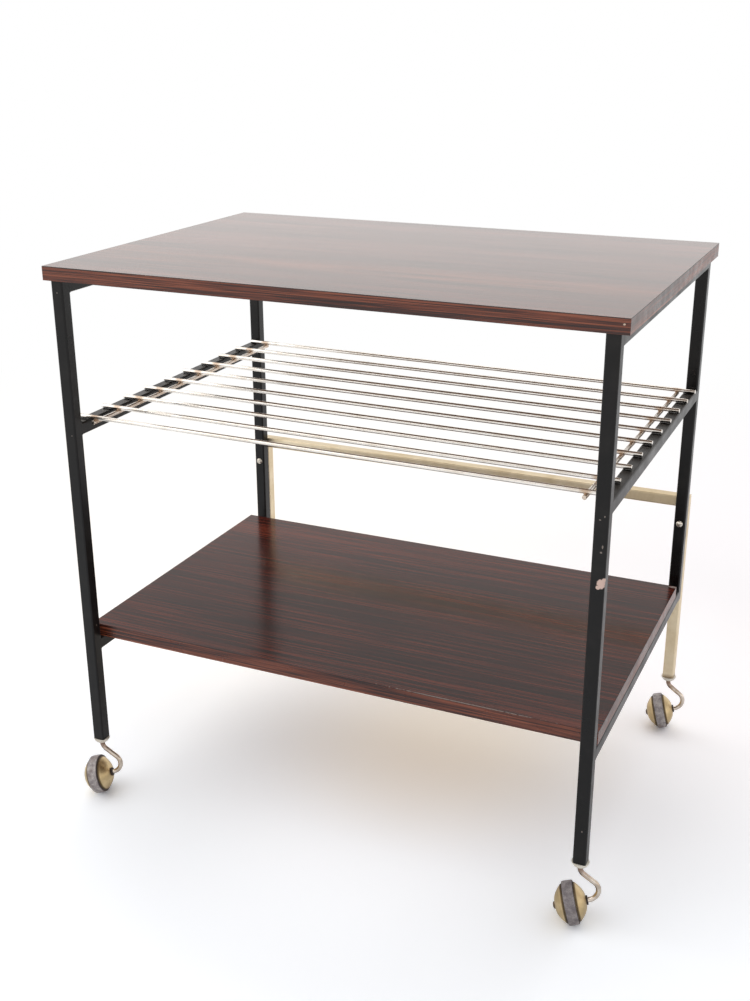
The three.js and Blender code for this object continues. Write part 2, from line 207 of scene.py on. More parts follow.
# Round piece about Z, from rings of (radius, height). A solid one is capped at its first and last ring;
# a hollow one is closed from its last ring to its first.
def turned(name, rings, sides, hollow=False):
    radius, height = rings[0]
    piece = startCircle(name, sides, radius, height, "NOTHING" if hollow else "NGON")
    edit(piece)
    selectAll()
    for nextRadius, nextHeight in rings[1:] + (rings[:1] if hollow else []):
        bpy.ops.mesh.extrude_region_move(
            TRANSFORM_OT_translate={"value": (0, 0, nextHeight - height)}
        )
        share = nextRadius / radius
        bpy.ops.transform.resize(value=(share, share, 1), center_override=(0, 0, nextHeight))
        radius, height = nextRadius, nextHeight
    if hollow:
        selectAll()
        bpy.ops.mesh.remove_doubles(threshold=0.000001)
    faceOutward()
    leaveEdit()
    return piece


def roundCorner(centre, radius, first, last, steps):
    rings = []
    for step in range(steps + 1):
        angle = math.radians(first + (last - first) * step / steps)
        rings.append((centre[0] + radius * math.cos(angle), centre[1] + radius * math.sin(angle)))
    return rings


# One socket of a material, on which arithmetic can be written
class Wire:
    def __init__(self, tree, socket):
        self.tree = tree
        self.socket = socket

    def node(self, kind, settings, values, output=0):
        made = self.tree.nodes.new(kind)
        for name, setting in settings.items():
            if name == "stops":
                spreadStops(made.color_ramp, setting)
            else:
                setattr(made, name, setting)
        for key, value in values.items():
            if isinstance(value, Wire):
                self.tree.links.new(value.socket, made.inputs[key])
            else:
                made.inputs[key].default_value = value
        return Wire(self.tree, made.outputs[output])

    def calculate(self, operation, *values):
        return self.node("ShaderNodeMath", {"operation": operation}, dict(enumerate(values)))

    def larger(self, other):
        return self.calculate("MAXIMUM", self, other)

    def root(self):
        return self.calculate("SQRT", self)

    def __add__(self, other):
        return self.calculate("ADD", self, other)

    def __sub__(self, other):
        return self.calculate("SUBTRACT", self, other)

    def __rsub__(self, other):
        return self.calculate("SUBTRACT", other, self)

    def __mul__(self, other):
        return self.calculate("MULTIPLY", self, other)

    def __truediv__(self, other):
        return self.calculate("DIVIDE", self, other)

    def __abs__(self):
        return self.calculate("ABSOLUTE", self)

    __radd__ = __add__
    __rmul__ = __mul__


def spreadStops(ramp, stops):
    while len(ramp.elements) < len(stops):
        ramp.elements.new(1)
    for element, (position, colour) in zip(ramp.elements, stops):
        element.position = position
        element.color = colour


def paint(red, green, blue):
    def linear(value):
        share = value / 255
        return share / 12.92 if share <= 0.04045 else ((share + 0.055) / 1.055) ** 2.4

    return (linear(red), linear(green), linear(blue), 1)


def newFinish(name, fixed):
    finish = bpy.data.materials.new(name)
    finish.use_nodes = True
    tree = finish.node_tree
    shader = tree.nodes["Principled BSDF"]
    for socket, value in fixed.items():
        shader.inputs[socket].default_value = value
    place = tree.nodes.new("ShaderNodeTexCoord")
    return finish, Wire(tree, place.outputs["Object"])


def feed(finish, links):
    shader = finish.node_tree.nodes["Principled BSDF"]
    for socket, wire in links.items():
        finish.node_tree.links.new(wire.socket, shader.inputs[socket])
    return finish


def vector(operation, first, second):
    return first.node("ShaderNodeVectorMath", {"operation": operation}, {0: first, 1: second})


def lengthOf(wire):
    return wire.node("ShaderNodeVectorMath", {"operation": "LENGTH"}, {0: wire}, "Value")


def part(place, axis):
    return place.node("ShaderNodeSeparateXYZ", {}, {0: place}, axis)


def attribute(place, name):
    return place.node("ShaderNodeAttribute", {"attribute_name": name}, {}, "Fac")


def noise(place, scale, detail=3, roughness=0.5):
    values = {"Vector": place, "Scale": scale, "Detail": detail, "Roughness": roughness}
    return place.node("ShaderNodeTexNoise", {}, values)


# Eased from first to last while the value goes from low to high
def ease(value, low, high, first=0.0, last=1.0):
    return value.node(
        "ShaderNodeMapRange",
        {"interpolation_type": "SMOOTHSTEP"},
        {"Value": value, "From Min": low, "From Max": high, "To Min": first, "To Max": last},
    )


# Roughness that follows a noise, from smoothest to roughest
def gloss(cloud, reach):
    return ease(cloud, 0.3, 0.7, *reach)


def mixed(mask, first, second):
    return mask.node("ShaderNodeMix", {"data_type": "RGBA"}, {0: mask, 6: first, 7: second}, 2)


# Two colours, mixed by a noise
def clouded(cloud, style):
    return mixed(ease(cloud, *style["cloudReach"]), *style["colours"])


# Flecks over a colour. Each: settings of its noise, the noise's reach, amount, colour
def flecked(place, colour, flecks):
    for settings, reach, amount, fleck in flecks:
        colour = mixed(ease(noise(place, *settings), *reach, 0.0, amount), colour, fleck)
    return colour


def ramp(value, stops):
    return value.node("ShaderNodeValToRGB", {"stops": stops}, {0: value})


def bump(height, depth):
    values = {"Height": height, "Distance": depth, "Strength": 1.0}
    return height.node("ShaderNodeBump", {}, values, "Normal")


# Ragged spots at chosen places: 1 inside, 0 outside
def spots(place, marks, ragged):
    rough = (noise(place, 420, 3) - 0.5) * ragged
    total = None
    for centre, reach in marks:
        away = vector("SUBTRACT", place, centre)
        away = vector("DIVIDE", away, reach)
        spot = ease(lengthOf(away) + rough, 0.85, 1.05, 1.0, 0.0)
        total = spot if total is None else total.larger(spot)
    return total


# Marks given as node, place from the node's low corner, reach
def marksOn(rows):
    return [(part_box(node)[0] + Vector(offset), reach) for node, offset, reach in rows]


# Wood pattern: grain runs along one axis, in broad bands, streaks and fine lines
def woodTone(place, axis, style):
    def stretch(along, across):
        shares = [across, across, across]
        shares[axis] = along
        return vector("MULTIPLY", place, tuple(shares))

    sway = (noise(stretch(style["swayAlong"], style["swayAcross"]), 1, 2) - 0.5) * style["sway"]
    across = {index: sway for index in range(3) if index != axis}
    place = vector("ADD", place, sway.node("ShaderNodeCombineXYZ", {}, across))
    total = None
    for along, across, share, detail in style["layers"]:
        layer = ease(noise(stretch(along, across), 1, detail), 0.28, 0.72) * share
        total = layer if total is None else total + layer
    return total


# Boards. Each layer of the grain: scale along it, scale across it, share of the tone, detail
laminateStyle = {
    "swayAlong": 2.2,
    "swayAcross": 9,
    "sway": 0.010,
    "layers": [(0.7, 12, 0.16, 1), (2.0, 60, 0.10, 2), (4, 340, 0.34, 2), (6, 1000, 0.40, 2)],
    "tones": [
        (0.26, paint(24, 6, 5)),
        (0.44, paint(48, 15, 10)),
        (0.57, paint(74, 27, 18)),
        (0.76, paint(108, 47, 31)),
    ],
    "roughness": 0.205,
    "polish": 0.05,
    "pores": (60, 1900, 1),
    "poreReach": (0.62, 0.75, 1.0, 0.0),
    "poreDepth": 0.000006,
    "warmPlace": 0.118,
    "warmReach": 0.055,
    "warmWander": 0.06,
    "warmAmount": 0.52,
    "warmTones": (0.38, 0.68, 0.15, 1.0),
    "warmHeights": (0.4, 0.5),
    "warmColour": paint(138, 70, 36),
    "wear": [
        ("shelf_laminate", (0.49000, 0.0002, 0.00083), (0.0900, 0.0007, 0.0007)),
        ("tabletop_laminate", (0.13789, 0, 0.00063), (0.0009, 0.0007, 0.0008)),
        ("shelf_laminate", (0.35130, 0.3997, 0.0008), (0.0030, 0.0010, 0.0008)),
        ("shelf_laminate", (0.64000, 0.3960, 0.0008), (0.0050, 0.0030, 0.0008)),
    ],
    "ragged": 1.7,
    "wearColour": paint(132, 118, 112),
    "wearRoughness": 0.4,
    "edgeGrain": (90, 90, 2400),
    "edgeTones": [(0.3, paint(18, 10, 9)), (0.7, paint(38, 24, 20))],
    "edgeRoughness": (0.35, 0.5),
}


def makeLaminate():
    style = laminateStyle
    finish, place = newFinish("laminate", {"IOR": 1.5})
    tone = woodTone(place, 0, style)
    wander = (noise(place, 3, 2) - 0.5) * style["warmWander"]
    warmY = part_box("tabletop_laminate")[0].y + style["warmPlace"]
    fromWarm = abs(part(place, 1) + wander - warmY)
    streaks = ease(tone, *style["warmTones"]) * ease(part(place, 2), *style["warmHeights"])
    warm = ease(fromWarm, 0.0, style["warmReach"], style["warmAmount"], 0.0) * streaks
    marked = spots(place, marksOn(style["wear"]), style["ragged"])
    colour = mixed(warm, ramp(tone, style["tones"]), style["warmColour"])
    pores = ease(noise(vector("MULTIPLY", place, style["pores"]), 1, 2), *style["poreReach"])
    return feed(finish, {
        "Base Color": mixed(marked, colour, style["wearColour"]),
        "Roughness": style["roughness"] - tone * style["polish"] + marked * style["wearRoughness"],
        "Normal": bump(pores, style["poreDepth"]),
    })


def makeLaminateEdge():
    style = laminateStyle
    finish, place = newFinish("laminateEdge", {"IOR": 1.5})
    grain = noise(vector("MULTIPLY", place, style["edgeGrain"]), 1, 3)
    marked = spots(place, marksOn(style["wear"]), style["ragged"])
    colour = mixed(marked, ramp(grain, style["edgeTones"]), style["wearColour"])
    return feed(finish, {"Base Color": colour, "Roughness": gloss(grain, style["edgeRoughness"])})


bandStyle = {
    "swayAlong": 5,
    "swayAcross": 60,
    "sway": 0.0012,
    "layers": [(2.0, 90, 0.20, 1), (6, 620, 0.42, 2), (18, 2000, 0.38, 2)],
    "tones": [
        (0.26, paint(30, 9, 6)),
        (0.42, paint(68, 28, 17)),
        (0.58, paint(108, 53, 34)),
        (0.80, paint(142, 80, 56)),
    ],
    "cloud": (60, 3),
    "roughness": (0.26, 0.36),
    "grainDepth": 0.00001,
    "pale": [("tabletop_edge_band", (0.65609, 0, 0.00993), (0.0012, 0.0012, 0.0010))],
    "ragged": 0.7,
    "paleColour": paint(206, 184, 166),
}


def makeBandFinish(name, axis):
    style = bandStyle
    finish, place = newFinish(name, {"IOR": 1.5})
    tone = woodTone(place, axis, style)
    colour = ramp(tone, style["tones"])
    if axis == 0:
        colour = mixed(spots(place, marksOn(style["pale"]), style["ragged"]), colour, style["paleColour"])
    return feed(finish, {
        "Base Color": colour,
        "Roughness": gloss(noise(place, *style["cloud"]), style["roughness"]),
        "Normal": bump(tone, style["grainDepth"]),
    })


backingStyle = {
    "cloud": (12, 4, 0.6),
    "cloudReach": (0.3, 0.7),
    "colours": (paint(118, 92, 76), paint(142, 116, 96)),
    "fibre": (160, 900, 900),
    "fibreReach": (0.55, 0.8, 0.0, 0.35),
    "fibreColour": paint(92, 70, 58),
    "roughness": (0.5, 0.68),
}


def makeBacking():
    style = backingStyle
    finish, place = newFinish("backing", {"IOR": 1.45})
    fibre = noise(vector("MULTIPLY", place, style["fibre"]), 1, 2)
    colour = clouded(noise(place, *style["cloud"]), style)
    colour = mixed(ease(fibre, *style["fibreReach"]), colour, style["fibreColour"])
    return feed(finish, {"Base Color": colour, "Roughness": gloss(fibre, style["roughness"])})


chipboardStyle = {
    "chips": 420.0,
    "colours": (paint(150, 118, 76), paint(206, 176, 128)),
    "roughness": 0.75,
    "uneven": 0.2,
}


def makeChipboard():
    style = chipboardStyle
    finish, place = newFinish("chipboard", {})
    chips = place.node("ShaderNodeTexVoronoi", {}, {"Vector": place, "Scale": style["chips"]}, "Color")
    grey = chips.node("ShaderNodeSeparateColor", {}, {0: chips})
    return feed(finish, {
        "Base Color": mixed(grey, *style["colours"]),
        "Roughness": grey * style["uneven"] + style["roughness"],
    })


# Black tubes: chips show bare metal, nicks only the primer
lacquerStyle = {
    "chips": [
        ("front_leg_right", (0.01179, 0, 0.33563), (0.0046, 0.0030, 0.0052)),
        ("front_leg_right", (0.01399, 0.001, 0.33933), (0.0026, 0.0030, 0.0026)),
        ("front_leg_right", (0.00829, 0, 0.33113), (0.0024, 0.0012, 0.0022)),
    ],
    "nicks": [
        ("front_leg_right", (0.01079, 0, 0.40693), (0.0007, 0.0006, 0.0010)),
        ("front_leg_right", (0.00609, 0, 0.40303), (0.0012, 0.0006, 0.0006)),
        ("front_leg_right", (0.01489, 0.0162, 0.38683), (0.0006, 0.0008, 0.0010)),
        ("front_leg_right", (0.00869, 0, 0.04273), (0.0007, 0.0006, 0.0009)),
        ("front_leg_right", (0.01049, 0, 0.37493), (0.0008, 0.0006, 0.0022)),
        ("front_leg_right", (0.00929, 0, 0.36893), (0.0012, 0.0006, 0.0010)),
        ("front_leg_left", (0.00779, 0, 0.57453), (0.0007, 0.0006, 0.0009)),
        ("front_leg_left", (0.01019, 0, 0.40733), (0.0006, 0.0006, 0.0008)),
        ("front_leg_left", (0.01489, 0.0076, 0.16053), (0.0006, 0.0008, 0.0010)),
    ],
    "chipRagged": 0.7,
    "nickRagged": 0.9,
    "nickAmount": 0.7,
    "cloud": (26, 4, 0.6),
    "cloudReach": (0.45, 0.8),
    "colours": (paint(7, 6, 6), paint(26, 24, 23)),
    "bare": paint(214, 188, 178),
    "nick": paint(150, 140, 134),
    "orangePeel": (900, 2),
    "peelShare": 0.12,
    "roughness": (0.26, 0.4),
    "bareRoughness": 0.35,
    "thickness": 0.00012,
}


def makeLacquer():
    style = lacquerStyle
    finish, place = newFinish("blackLacquer", {"IOR": 1.36})
    cloud = noise(place, *style["cloud"])
    nicks = spots(place, marksOn(style["nicks"]), style["nickRagged"])
    chips = spots(place, marksOn(style["chips"]), style["chipRagged"])
    colour = mixed(nicks * style["nickAmount"], clouded(cloud, style), style["nick"])
    height = noise(place, *style["orangePeel"]) * style["peelShare"] + (1 - chips)
    return feed(finish, {
        "Base Color": mixed(chips, colour, style["bare"]),
        "Roughness": gloss(cloud, style["roughness"]) + chips * style["bareRoughness"],
        "Normal": bump(height, style["thickness"]),
    })


tubeBrassStyle = {
    "cloud": (18, 5, 0.62),
    "cloudReach": (0.35, 0.7),
    "colours": (paint(232, 218, 190), paint(212, 194, 160)),
    "flecks": [((260, 3, 0.6), (0.62, 0.8), 0.4, paint(158, 132, 98))],
    "brushed": (900, 900, 60),
    "brushDepth": 0.00001,
    "endReach": 0.007,
    "endWander": 0.006,
    "endAmount": 0.7,
    "end": paint(120, 92, 62),
    "roughness": (0.40, 0.5),
}


def makeBrassTube():
    style = tubeBrassStyle
    finish, place = newFinish("brassTube", {"Metallic": 1.0})
    cloud = noise(place, *style["cloud"])
    # Darker towards the bottom ends of the legs, where they meet the plugs
    wander = (noise(place, 160, 2) - 0.5) * style["endWander"]
    fromEnd = part(place, 2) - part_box("brass_leg_right")[0].z + wander
    marked = ease(fromEnd, 0.0, style["endReach"], style["endAmount"], 0.0)
    colour = flecked(place, clouded(cloud, style), style["flecks"])
    brushed = noise(vector("MULTIPLY", place, style["brushed"]), 1, 2)
    return feed(finish, {
        "Base Color": mixed(marked, colour, style["end"]),
        "Roughness": gloss(cloud, style["roughness"]),
        "Normal": bump(brushed, style["brushDepth"]),
    })


rodStyle = {
    "skew": -1.0,
    "weldAt": 0.2965,
    "weldHeat": 0.6,
    "weldReach": (0.002, 0.009),
    "crossHeat": 0.4,
    "crossDrop": (0.0025, 0.0005),
    "cloud": (40, 4, 0.6),
    "cloudReach": (0.35, 0.75),
    "colours": (paint(240, 236, 230), paint(222, 214, 203)),
    "heated": paint(166, 126, 80),
    "flecks": [((700, 2), (0.66, 0.8), 0.5, paint(120, 92, 62))],
    "roughness": (0.16, 0.26),
    "heatedRoughness": 0.15,
}


def rackCentre():
    return (centreOf(rodNodes[0]) + centreOf(rodNodes[-1])) / 2


# Brown heat marks lie where a rod crosses a cross rod, so their places repeat from rod to rod
def makeRodFinish():
    style = rodStyle
    finish, place = newFinish("brightRod", {"Metallic": 1.0})
    centre = rackCentre()
    turnedPlace = place.node(
        "ShaderNodeVectorRotate",
        {"rotation_type": "Z_AXIS"},
        {"Vector": place, "Center": centre, "Angle": math.radians(-style["skew"])},
    )
    spacing = (centreOf(rodNodes[-1]) - centreOf(rodNodes[0])).length / (len(rodNodes) - 1)
    along = abs(abs(part(turnedPlace, 0) - centre.x) - style["weldAt"])
    between = (part(turnedPlace, 1) - centre.y) / spacing + 100  # kept above zero for the fraction
    across = abs(between.calculate("FRACT", between) - 0.5) * spacing
    fromWeld = (along * along + across * across).root()
    heat = ease(fromWeld, *style["weldReach"], style["weldHeat"], 0.0)
    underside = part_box(rodNodes[-1])[0].z
    farBelow, justBelow = style["crossDrop"]
    crossRod = ease(part(place, 2), underside - farBelow, underside - justBelow, style["crossHeat"], 0.0)
    heat = heat.larger(crossRod)
    cloud = noise(place, *style["cloud"])
    colour = mixed(heat, clouded(cloud, style), style["heated"])
    return feed(finish, {
        "Base Color": flecked(place, colour, style["flecks"]),
        "Roughness": gloss(cloud, style["roughness"]) + heat * style["heatedRoughness"],
    })


# Finishes that are no more than two clouded colours and flecks
nickelStyle = {
    "fixed": {"Metallic": 1.0},
    "cloud": (500, 3),
    "cloudReach": (0.4, 0.75),
    "colours": (paint(222, 216, 206), paint(168, 158, 142)),
    "flecks": [],
    "roughness": (0.22, 0.38),
}
plasticStyle = {
    "fixed": {"IOR": 1.46},
    "cloud": (110, 4, 0.6),
    "cloudReach": (0.4, 0.75),
    "colours": (paint(232, 229, 220), paint(206, 198, 184)),
    "flecks": [((900, 2), (0.62, 0.74), 0.6, paint(150, 136, 118))],
    "roughness": (0.4, 0.55),
}
ringStyle = {
    "fixed": {"IOR": 1.45},
    "cloud": (300, 3),
    "cloudReach": (0.4, 0.75),
    "colours": (paint(30, 22, 19), paint(66, 50, 42)),
    "flecks": [],
    "roughness": (0.45, 0.65),
}


def makeClouded(name, style):
    finish, place = newFinish(name, style["fixed"])
    cloud = noise(place, *style["cloud"])
    colour = flecked(place, clouded(cloud, style), style["flecks"])
    return feed(finish, {"Base Color": colour, "Roughness": gloss(cloud, style["roughness"])})


# Domes are darker at the rim and at the hub, by the attribute "fromAxle": dirt, with painted shade in the
# crevices by the tyre and by the collar
domeStyle = {
    "rimReach": (0.0198, 0.0211, 0.0, 0.8),
    "hubReach": (0.0044, 0.0062, 0.6, 0.0),
    "cloud": (60, 3, 0.55),
    "cloudReach": (0.35, 0.65),
    "colours": (paint(192, 170, 128), paint(216, 195, 154)),
    "stains": (110, 4, 0.6),
    "stainReach": (0.6, 0.74),
    "stainAmount": 0.5,
    "stain": paint(152, 114, 80),
    "grain": (420, 3, 0.6),
    "grainDepth": 0.00002,
    "speckReach": (0.58, 0.8, 0.0, 0.3),
    "speck": paint(118, 96, 68),
    "dirtAndShade": paint(54, 38, 28),
    "roughness": (0.34, 0.44),
    "stainRoughness": 0.1,
    "dirtAndShadeRoughness": 0.2,
}


def makeAgedBrass():
    style = domeStyle
    finish, place = newFinish("agedBrass", {"Metallic": 1.0})
    cloud = noise(place, *style["cloud"])
    stain = ease(noise(place, *style["stains"]), *style["stainReach"])
    grain = noise(place, *style["grain"])
    colour = mixed(stain * style["stainAmount"], clouded(cloud, style), style["stain"])
    colour = mixed(ease(grain, *style["speckReach"]), colour, style["speck"])
    fromAxle = attribute(place, "fromAxle")
    # Dirt and painted shade: darker at the rim by the tyre and at the hub by the collar
    dirtAndShade = ease(fromAxle, *style["rimReach"]).larger(ease(fromAxle, *style["hubReach"]))
    roughness = gloss(cloud, style["roughness"]) + stain * style["stainRoughness"]
    return feed(finish, {
        "Base Color": mixed(dirtAndShade, colour, style["dirtAndShade"]),
        "Roughness": roughness + dirtAndShade * style["dirtAndShadeRoughness"],
        "Normal": bump(grain, style["grainDepth"]),
    })


# Stems are darker towards the top, near the plug, and their rivets are dark, by the attribute "fromRivet"
stemFinishStyle = {
    "cloud": (90, 4, 0.6),
    "cloudReach": (0.4, 0.7),
    "colours": (paint(218, 207, 194), paint(182, 166, 148)),
    "darkerNearPlugReach": (0.054, 0.076, 0.0, 0.8),
    "darkerNearPlug": paint(118, 84, 68),
    "rivetReach": (0.0042, 0.0058, 0.85, 0.0),
    "rivet": paint(92, 78, 62),
    "roughness": (0.14, 0.26),
    "darkerNearPlugRoughness": 0.12,
    "rivetRoughness": 0.2,
}


def makeStemMetal():
    style = stemFinishStyle
    finish, place = newFinish("stemMetal", {"Metallic": 1.0})
    cloud = noise(place, *style["cloud"])
    # Darker towards the top of the stem, just under the plug
    darkerNearPlug = ease(part(place, 2), *style["darkerNearPlugReach"])
    rivet = ease(attribute(place, "fromRivet"), *style["rivetReach"])
    colour = mixed(darkerNearPlug, clouded(cloud, style), style["darkerNearPlug"])
    roughness = gloss(cloud, style["roughness"]) + darkerNearPlug * style["darkerNearPlugRoughness"]
    return feed(finish, {
        "Base Color": mixed(rivet, colour, style["rivet"]),
        "Roughness": roughness + rivet * style["rivetRoughness"],
    })


# Tyres are dark at their sides, by the attribute "acrossTread": dirt, with painted shade in the crevices
# by the domes. The front right one is dark all over
rubberStyle = {
    "cloud": (150, 4, 0.65),
    "cloudReach": (0.36, 0.64),
    "colours": (paint(140, 134, 137), paint(184, 179, 178)),
    "flecks": [
        ((55, 2), (0.5, 0.68), 0.6, paint(112, 97, 92)),
        ((900, 3, 0.6), (0.54, 0.74), 0.55, paint(88, 79, 80)),
        ((320, 3), (0.62, 0.72), 0.6, paint(204, 199, 197)),
    ],
    "darkestNode": "wheel_tyre_front_right",
    "darkestReach": (0.03, 0.06, 0.42, 0.0),
    "darkest": paint(74, 68, 76),
    "sideDirtAndShadeReach": (0.86, 0.99, 0.0, 0.85),
    "side": paint(48, 37, 34),
    "grit": (900, 3, 0.6),
    "gritShare": 0.3,
    "roughness": (0.6, 0.85),
    "relief": 0.0005,
}


def makeRubber():
    style = rubberStyle
    finish, place = newFinish("greyRubber", {"IOR": 1.45})
    cloud = noise(place, *style["cloud"])
    grit = noise(place, *style["grit"])
    fromDarkest = lengthOf(vector("SUBTRACT", place, centreOf(style["darkestNode"])))
    # Dirt and painted shade: the tread darkens towards its sides, in the crevices by the domes
    side = ease(attribute(place, "acrossTread"), *style["sideDirtAndShadeReach"])
    colour = flecked(place, clouded(cloud, style), style["flecks"])
    colour = mixed(ease(fromDarkest, *style["darkestReach"]), colour, style["darkest"])
    height = cloud * (1 - style["gritShare"]) + grit * style["gritShare"]
    return feed(finish, {
        "Base Color": mixed(side, colour, style["side"]),
        "Roughness": gloss(grit, style["roughness"]),
        "Normal": bump(height, style["relief"]),
    })


laminate = makeLaminate()
laminateEdge = makeLaminateEdge()
bandAlongX = makeBandFinish("edgeBandAlongX", 0)
bandAlongY = makeBandFinish("edgeBandAlongY", 1)
backing = makeBacking()
chipboard = makeChipboard()
blackLacquer = makeLacquer()
brassTube = makeBrassTube()
brightRod = makeRodFinish()
nickel = makeClouded("nickel", nickelStyle)
whitePlastic = makeClouded("whitePlastic", plasticStyle)
agedBrass = makeAgedBrass()
stemMetal = makeStemMetal()
greyRubber = makeRubber()
darkRing = makeClouded("darkRing", ringStyle)
print("finishes made")


# Square tubes: an open box with rounded long edges, given its wall
tubeStyle = {"corner": 0.0022, "cornerSteps": 6, "wall": 0.0012, "rimRound": 0.0002}


def makeTube(name, low, high, axis, style=tubeStyle):
    tube = startBlock(name, low, high)
    edit(tube)
    pick(tube, "FACE", lambda face: abs(face.normal[axis]) > 0.9)
    bpy.ops.mesh.delete(type="ONLY_FACE")
    pick(tube, "EDGE", lambda edge: abs(edgeWay(edge)[axis]) > 0.9)
    bpy.ops.mesh.bevel(offset=style["corner"], segments=style["cornerSteps"], profile=0.5)
    leaveEdit()
    modify(tube, "SOLIDIFY", thickness=style["wall"], offset=-1, use_even_offset=True)
    return tube


def finishTube(tube):
    roundEdges(tube, tubeStyle["rimRound"])
    smooth(tube)


def addSideFrames():
    for side in sideNames:
        nodes = [(f"{end}_leg_{side}", 2) for end in ("front", "rear")]
        nodes += [(f"{level}_crossbar_{side}", 1) for level in levelNames]
        for node, axis in nodes:
            tube = makeTube(f"{node}_tube", *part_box(node), axis)
            finishTube(tube)
            dress(tube, "frame", "black_lacquer", [blackLacquer], node)


# Welds between crossbars and legs: hollow fillets above and below, and a ground flush fill at each side
weldStyle = {
    "reach": 0.0036, "hollow": 0.1, "hollowShare": 0.94, "steps": 6, "cuts": 7, "ripple": 0.00012,
    "sideProud": 0.00004, "sideDirtAndShadeReach": 0.0006, "sideRound": 0.0003,
}


# A bar whose edge away from the corner is hollowed
def makeCove(name, corner, width, backward, upward):
    reach = weldStyle["reach"]
    far = corner + Vector((width, backward * reach, upward * reach))
    low = Vector(map(min, corner, far))
    high = Vector(map(max, corner, far))

    def alongX(edge):
        return abs(edgeWay(edge).x) > 0.9

    def outermost(edge):
        gap = edgeMiddle(edge) - far
        return alongX(edge) and math.hypot(gap.y, gap.z) < reach / 4

    cove = startBlock(name, low, high)
    edit(cove)
    pick(cove, "EDGE", outermost)
    bpy.ops.mesh.bevel(
        offset=reach * weldStyle["hollowShare"], segments=weldStyle["steps"], profile=weldStyle["hollow"]
    )
    pick(cove, "EDGE", alongX)
    bpy.ops.mesh.subdivide(number_cuts=weldStyle["cuts"])
    selectAll()
    bpy.ops.transform.vertex_random(offset=weldStyle["ripple"], uniform=1.0, seed=len(name))
    leaveEdit()
    return cove


def makeSideFill(name, low, high):
    fill = startBlock(name, low, high)
    roundEdges(fill, weldStyle["sideRound"])
    return fill


def addWelds():
    corner = tubeStyle["corner"]
    for side in sideNames:
        pieces = []
        for level in levelNames:
            low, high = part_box(f"{level}_crossbar_{side}")
            for end, edgeY, backward in (("front", low.y, 1), ("rear", high.y, -1)):
                label = f"weld_{level}_{end}_{side}"
                width = high.x - low.x - 2 * corner
                under = Vector((low.x + corner, edgeY, low.z))
                pieces.append(makeCove(f"{label}_under", under, width, backward, -1))
                if level != "top":
                    over = Vector((low.x + corner, edgeY, high.z))
                    pieces.append(makeCove(f"{label}_over", over, width, backward, 1))
                nearY = edgeY - backward * corner
                farY = edgeY + backward * weldStyle["sideDirtAndShadeReach"]
                for face, firstX, lastX in (
                    ("a", low.x - weldStyle["sideProud"], low.x + corner),
                    ("b", high.x - corner, high.x + weldStyle["sideProud"]),
                ):
                    pieces.append(makeSideFill(
                        f"{label}_{face}",
                        Vector((firstX, min(nearY, farY), low.z + corner / 2)),
                        Vector((lastX, max(nearY, farY), high.z - corner / 2)),
                    ))
        welds = joined(pieces, f"welds_{side}")
        smooth(welds, 40)
        dress(welds, "frame", "black_lacquer", [blackLacquer])


# Brass frame: a bar and two legs, mitred where they meet
brassStyle = {"mitreGap": 0.00012}


def mitre(tube, corner, normal, keepAbove):
    edit(tube)
    selectAll()
    gap = brassStyle["mitreGap"] / 2
    bpy.ops.mesh.bisect(
        plane_co=corner + normal * (gap if keepAbove else -gap), plane_no=normal,
        clear_inner=keepAbove, clear_outer=not keepAbove,
    )
    pick(tube, "EDGE", lambda edge: edge.is_boundary)
    bpy.ops.mesh.bridge_edge_loops()
    faceOutward()
    leaveEdit()


def addBrassFrame():
    barLow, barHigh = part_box("brass_bar")
    legs = {side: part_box(f"brass_leg_{side}") for side in sideNames}
    outer = {"left": legs["left"][0].x, "right": legs["right"][1].x}
    centreY = centreOf("brass_bar").y
    slope = {"left": Vector((1, 0, 1)).normalized(), "right": Vector((-1, 0, 1)).normalized()}
    for side in sideNames:
        low, high = legs[side]
        tube = makeTube(f"brass_leg_{side}_tube", low, Vector((high.x, high.y, barHigh.z)), 2)
        mitre(tube, Vector((outer[side], centreY, barHigh.z)), slope[side], False)
        finishTube(tube)
        dress(tube, "frame", "brass_tube", [brassTube], f"brass_leg_{side}")
    low = Vector((outer["left"], barLow.y, barLow.z))
    high = Vector((outer["right"], barHigh.y, barHigh.z))
    bar = makeTube("brass_bar_tube", low, high, 0)
    for side in sideNames:
        mitre(bar, Vector((outer[side], centreY, barHigh.z)), slope[side], True)
    finishTube(bar)
    dress(bar, "frame", "brass_tube", [brassTube], "brass_bar")


# Boards: the laminate sheet over an edge band, which is a flat tube with its own corners and wall.
# The core and the backing stay as they are in the frame.
boardStyle = {
    "corner": 0.0008, "cornerSteps": 3, "wall": 0.001, "rimRound": 0.0002,
    "sheetRound": 0.00025, "sheetSteps": 2,
}


def giveSlot(piece, index, test):
    edit(piece)
    pick(piece, "FACE", test)
    piece.active_material_index = index
    bpy.ops.object.material_slot_assign()
    leaveEdit()


